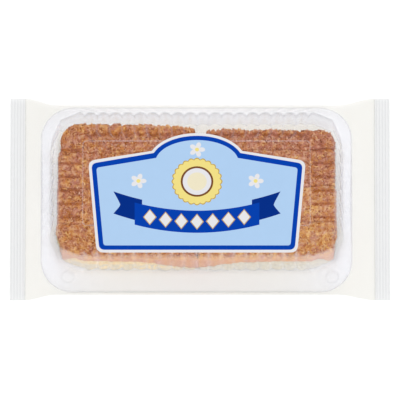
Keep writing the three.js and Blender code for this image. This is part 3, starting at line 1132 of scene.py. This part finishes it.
def film_roof_rows(phase):
    """From the flat panel over the ridges to the roof's rounded edge: insets, drops and groove shares."""
    inset = np.array([1, 0.93, 0.85, 0.6, 0.35, 0.176, 0.11, 0.05, 0.02, 0])[:, None] * FILM_SHOULDER
    drop = np.array([0, 0, 0, 0.03, 0.06, 0.09, 0.2, 0.4, 0.68, 1])[:, None] * FILM_EDGE
    depth = np.array([0, 0.5, 1, 1, 1, 1, 1, 1, 1, 1])[:, None] * groove_at(phase, FILM_ROUNDNESS)
    inset = inset + FILM_GROOVE_IN * depth
    x, y = faceted_rectangle(station_at(phase), *FILM_ROOF_HALF, ROOF_CORNER, inset)
    return x, y, film_high.z - drop - FILM_GROOVE_DOWN * depth


def film_slope_rows(phase, edge, hem):
    """Straight from the roof's edge to the hem, with faint creases that fade at both ends."""
    share = np.linspace(0.1, 1, 10)[:, None]
    x, y, z = (between(top, foot, share) for top, foot in zip(edge, (*hem, HEM_HEIGHT)))
    crease = 1 + np.sin(4.1 * phase + 0.6) + 0.8 * np.sin(7.3 * phase + 2.0)
    return x, y, z - CREASE_HEIGHT * hill(phase, *CREASE_PLACE) * crease * np.sin(np.pi * share) ** 2


def film_piece():
    """Rings from the roof's middle to the hem and under to the middle of the flat underside. The lid's
    place off the bag's middle fades out towards the seals and down to the hem."""
    phase, side_x, side_y = all_round(FILM_STEPS_PER_FLUTE)
    roof = film_roof_rows(phase)
    hem = film_hem(phase, side_y)
    slope = film_slope_rows(phase, tuple(part[-1] for part in roof), hem)
    panel = np.array([0.2, 0.5, 0.8])[:, None]
    under = np.array([1, 0.99, 0.8, 0.5, 0.2])[:, None]
    x, y = (np.concatenate([r[:1] * panel, r, s, h * under]) for r, s, h in zip(roof, slope, hem))
    z = np.concatenate([
        np.repeat(roof[2][:1], len(panel), 0), roof[2], slope[2], 0 * hem[0] * under + film_low.z])
    shift_x = LID_PLACE[0] * unit((SEAL_X - x) / (SEAL_X - FLARE_START))
    shift_y = LID_PLACE[1] * z / film_high.z
    poles = [(*LID_PLACE, film_high.z), (LID_PLACE[0], 0, film_low.z)]
    return ringed(x * side_x + shift_x, y * side_y + shift_y, z, poles)


film_plastic = plastic("film_plastic", FILM_TINT, FILM_GLOSS, FILM_MIRROR, FILM_HAZE)
film = shown("film_bag", film_plastic, *film_piece())
film.visible_shadow = False
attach(film, "root")
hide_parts("film_pack")

# Seals: at each end both films are pressed together between hot ribbed jaws, which leaves a flat band
# crossed by fine ridges along the pack's width.
CRIMP_PITCH = 2.4
CRIMP_SWING = 0.32
CRIMP_STEPS = 10
SEAL_LAP = 0.6
SEAL_COLUMNS = 90
SEAL_MIDDLE = 0.72
SEAL_THICKNESS = 0.2
SEAL_WAVES = ((0.08, 40, 8, 5),)
SEAL_TINT = (0.972, 0.974, 0.976, 1)
SEAL_GLOSS = 0.2
SEAL_HAZE = ((0.72, 0.725, 0.735, 1), 0.10)
SEAL_VALLEY_SHADE = ((0.35, 0.36, 0.38, 1), "valley")
VALLEY_SHARE = 0.05


def seal_piece(side):
    """A band whose height follows a wave along X, one wave to a ridge, and lies a little uneven along Y. The
    valleys get a share of a dark colour: painted shade."""
    count = round(SEAL_LENGTH / CRIMP_PITCH * CRIMP_STEPS)
    x = np.linspace(SEAL_X - SEAL_LAP, film_high.x, count)[:, None]
    y = np.linspace(film_low.y, film_high.y, SEAL_COLUMNS)[None, :]
    ridge = np.cos(2 * np.pi * (film_high.x - x) / CRIMP_PITCH)
    z = SEAL_MIDDLE + CRIMP_SWING * ridge + waves(x, y, SEAL_WAVES, 0)
    faces = grid_faces(count, SEAL_COLUMNS, False)
    # Painted shade in the valleys of the crimp.
    valley = VALLEY_SHARE * unit(-ridge) ** 3 + 0 * y
    return as_points(x * side, y, z), [*(faces if side < 0 else faces[:, ::-1])], valley.ravel()


seal_plastic = plastic("seal_plastic", SEAL_TINT, SEAL_GLOSS, FILM_MIRROR, SEAL_HAZE, SEAL_VALLEY_SHADE)
for side, name in ((-1, "seal_left"), (1, "seal_right")):
    points, faces, valley = seal_piece(side)
    seal = shown(name, seal_plastic, points, faces, valley=valley)
    thicken(seal, SEAL_THICKNESS)
    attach(seal, "root")
    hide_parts("film_pack")

# Label: coated paper stuck to the film, cut as a plaque with an arch at the back. It is printed in plain
# fields: a white edge, a dark blue line and a pale blue ground.
label_low, label_high = (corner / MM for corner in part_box("label"))
LABEL_MIDDLE = (label_low.x + label_high.x) / 2
LABEL_HALF = 87.3
LABEL_FOOT_HALF = 80.4
LABEL_FRONT = label_low.y
LABEL_SHOULDER = 19.4
LABEL_CORNER = 6.0
LEAST_CORNER = 2.0
SHOULDER_SLOPE = 0.165
ARCH_TOP = label_high.y
ARCH_AXES = (39.4, 25.2)
WHITE_EDGE = 2.3
BLUE_LINE = 3.7
PRINT_THICKNESS = 0.1
INK_STEP = 0.03
INK_GRAIN = 120.0
INK_THINNED = 0.96
CORNER_STEPS = 9
ARCH_STEPS = 40


def corner_points(before, apex, after):
    """A corner rounded by a curve that leaves one side, bends towards the apex and joins the next."""
    t = np.linspace(0, 1, CORNER_STEPS)[:, None]
    return (1 - t) ** 2 * before + 2 * t * (1 - t) * apex + t**2 * after


def plaque(inset):
    """The label's outline, drawn in by an inset, anticlockwise from the front's middle: a tapered side with
    rounded corners, a sloping shoulder and an arch on an ellipse, and then their mirror image."""
    taper = (LABEL_HALF - LABEL_FOOT_HALF) / (LABEL_SHOULDER - LABEL_FRONT)
    corner = max(LABEL_CORNER - 0.6 * inset, LEAST_CORNER)
    foot = np.array([LABEL_FOOT_HALF - inset * (1 - taper), LABEL_FRONT + inset])
    apex = np.array([LABEL_HALF - inset * (1 + taper), LABEL_SHOULDER - inset])
    side = (apex - foot) / np.linalg.norm(apex - foot)
    slope = np.array([-1, SHOULDER_SLOPE]) / math.hypot(1, SHOULDER_SLOPE)
    lower = corner_points(foot - (corner, 0), foot, foot + corner * side)
    upper = corner_points(apex - corner * side, apex, apex + corner * slope)
    angle = np.linspace(0, np.pi / 2, ARCH_STEPS)
    arch_x = (ARCH_AXES[0] - inset) * np.cos(angle)
    arch_y = ARCH_TOP - ARCH_AXES[1] + (ARCH_AXES[1] - inset) * np.sin(angle)
    free = arch_y > apex[1] + (apex[0] - arch_x) * SHOULDER_SLOPE
    arch = np.stack([arch_x[free], arch_y[free]], -1)
    right = np.concatenate([[(0, foot[1])], lower, upper, arch])
    return np.concatenate([right, right[-2:0:-1] * (-1, 1)])


def print_level(layer):
    """The height of a layer of print over the label's paper."""
    return label_high.z - PRINT_THICKNESS + layer * INK_STEP


def on_label(name, material, points, faces):
    """A flat piece of the label, which is too thin to keep light off the cake."""
    piece = shown(name, material, points + np.array([LABEL_MIDDLE, 0, 0]), faces, smooth=False)
    piece.visible_shadow = False
    piece.visible_diffuse = False
    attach(piece, "root")
    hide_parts("label")


def label_paper(outline, material):
    """The paper: the outline on top, an edge down to the underside, and a fan on both."""
    levels = np.array([label_low.z, print_level(0)])
    poles = [(0, 0, level) for level in levels]
    on_label("label_paper", material, *ringed(*outline.T, levels[:, None], poles))


def label_field(name, outline, layer, material):
    """A flat field of print inside an outline, as a fan from its middle."""
    count = len(outline)
    plan = np.concatenate([outline, [(outline.min(0) + outline.max(0)) / 2]])
    points = as_points(*plan.T, print_level(layer))
    on_label(name, material, points, fan_faces(np.arange(count), count, True))


def ink(name, colour):
    """Satin coated paper in one ink, with a very slight unevenness."""
    material, tree, surface = material_tree(name)
    thin = tuple(INK_THINNED * c for c in colour)
    shade = ramped(tree, object_noise(tree, INK_GRAIN), ((0.0, thin), (1.0, colour)))
    opaque(tree, surface, shade, roughness=0.45, specular=0.04)
    return material


white_ink = ink("white_ink", (0.67, 0.665, 0.685))
blue_ink = ink("blue_ink", (0.0, 0.042, 0.35))
sky_ink = ink("sky_ink", (0.365, 0.525, 0.735))
label_paper(plaque(0), white_ink)
label_field("label_line", plaque(WHITE_EDGE), 1, blue_ink)
label_field("label_ground", plaque(WHITE_EDGE + BLUE_LINE), 2, sky_ink)

# Label print: a yellow medallion with half a coconut, a dark blue ribbon that hangs under it with a row of
# white lozenges, and small blossoms in the arch and at the sides. All of it is flat fields of ink.
RIBBON_MIDDLE = -33.0
RIBBON_HALF = (50.0, 9.5)
RIBBON_SAG = 7.0
RIBBON_GRID = (9, 40)
TAIL_LENGTH = 17.0
TAIL_LAP = 6.0
TAIL_LIFT = 4.0
TAIL_NOTCH = 6.0
LOZENGES = 7
LOZENGE_PITCH = 12.6
LOZENGE_HALF = (4.6, 6.0)
GOLD_EDGE = 0.9
MEDALLION_MIDDLE = (0.0, 1.5)
MEDALLION_RADIUS = 20.5
MEDALLION_LOBES = (24, 0.07)
ROUND = (3, 0.0)
BLOSSOMS = ((0.0, 29.0), (-47.0, 2.0), (47.0, 2.0))
BLOSSOM_RADIUS = 6.5
BLOSSOM_PETALS = (5, 0.55)
BLOSSOM_EYE = (5, 0.0)


def ribbon_line(x):
    """The height of the ribbon's middle line, which sags between its ends."""
    return RIBBON_MIDDLE + RIBBON_SAG * (x / RIBBON_HALF[0]) ** 2


def ribbon_patch(name, ends, lift, layer, material, notch=0.0):
    """A band along the ribbon's line between two X places, as a grid. A notch may cut in its far end."""
    across = np.linspace(-1, 1, RIBBON_GRID[0])[:, None]
    along = np.linspace(0, 1, RIBBON_GRID[1])[None, :]
    x = between(*ends, along) - notch * along**6 * (1 - np.abs(across)) * np.sign(ends[1])
    y = ribbon_line(x) + lift + RIBBON_HALF[1] * across
    faces = grid_faces(*RIBBON_GRID, False)
    points = as_points(x, y, print_level(layer))
    on_label(name, material, points, faces if ends[1] > ends[0] else faces[:, ::-1])


def lobed_outline(middle, radius, lobes, depth):
    """A closed curve round a middle whose radius swells and shrinks once for each lobe."""
    angle = np.linspace(0, 2 * np.pi, 12 * lobes, endpoint=False)
    reach = radius * (1 + depth * (np.abs(np.cos(lobes * angle / 2)) - 1))
    return np.stack([middle[0] + reach * np.cos(angle), middle[1] + reach * np.sin(angle)], -1)


def lozenge_row(name, grown, layer, material):
    """A row of lozenges along the ribbon, each a flat face of four corners."""
    middle = (np.arange(LOZENGES) - (LOZENGES - 1) / 2) * LOZENGE_PITCH
    corner = np.array([[1, 0], [0, 1], [-1, 0], [0, -1]]) * (np.asarray(LOZENGE_HALF) + grown)
    x = middle[:, None] + corner[None, :, 0]
    y = ribbon_line(middle)[:, None] + corner[None, :, 1]
    faces = np.arange(4 * LOZENGES).reshape(-1, 4)
    on_label(name, material, as_points(x, y, print_level(layer)), faces)


gold_ink = ink("gold_ink", (0.46, 0.30, 0.07))
yellow_ink = ink("yellow_ink", (0.74, 0.62, 0.20))
brown_ink = ink("brown_ink", (0.16, 0.06, 0.02))
cream_ink = ink("cream_ink", (0.72, 0.66, 0.48))
navy_ink = ink("navy_ink", (0.0, 0.022, 0.20))
for side, name in ((-1, "left"), (1, "right")):
    tail = (side * (RIBBON_HALF[0] - TAIL_LAP), side * (RIBBON_HALF[0] + TAIL_LENGTH))
    ribbon_patch("ribbon_tail_" + name, tail, TAIL_LIFT, 3, navy_ink, TAIL_NOTCH)
ribbon_patch("ribbon", (-RIBBON_HALF[0], RIBBON_HALF[0]), 0, 4, blue_ink)
lozenge_row("lozenge_edges", GOLD_EDGE, 5, gold_ink)
lozenge_row("lozenges", 0.0, 6, white_ink)
for layer, (name, radius, lobes, colour) in enumerate((
    ("medallion_edge", MEDALLION_RADIUS, MEDALLION_LOBES, gold_ink),
    ("medallion", MEDALLION_RADIUS - GOLD_EDGE, MEDALLION_LOBES, yellow_ink),
    ("coconut_shell", 0.64 * MEDALLION_RADIUS, ROUND, brown_ink),
    ("coconut_flesh", 0.56 * MEDALLION_RADIUS, ROUND, white_ink),
    ("coconut_hollow", 0.38 * MEDALLION_RADIUS, ROUND, cream_ink),
), 5):
    label_field(name, lobed_outline(MEDALLION_MIDDLE, radius, *lobes), layer, colour)
for number, middle in enumerate(BLOSSOMS):
    petals = lobed_outline(middle, BLOSSOM_RADIUS, *BLOSSOM_PETALS)
    eye = lobed_outline(middle, 0.25 * BLOSSOM_RADIUS, *BLOSSOM_EYE)
    label_field(f"blossom_{number}", petals, 3, white_ink)
    label_field(f"blossom_eye_{number}", eye, 4, yellow_ink)
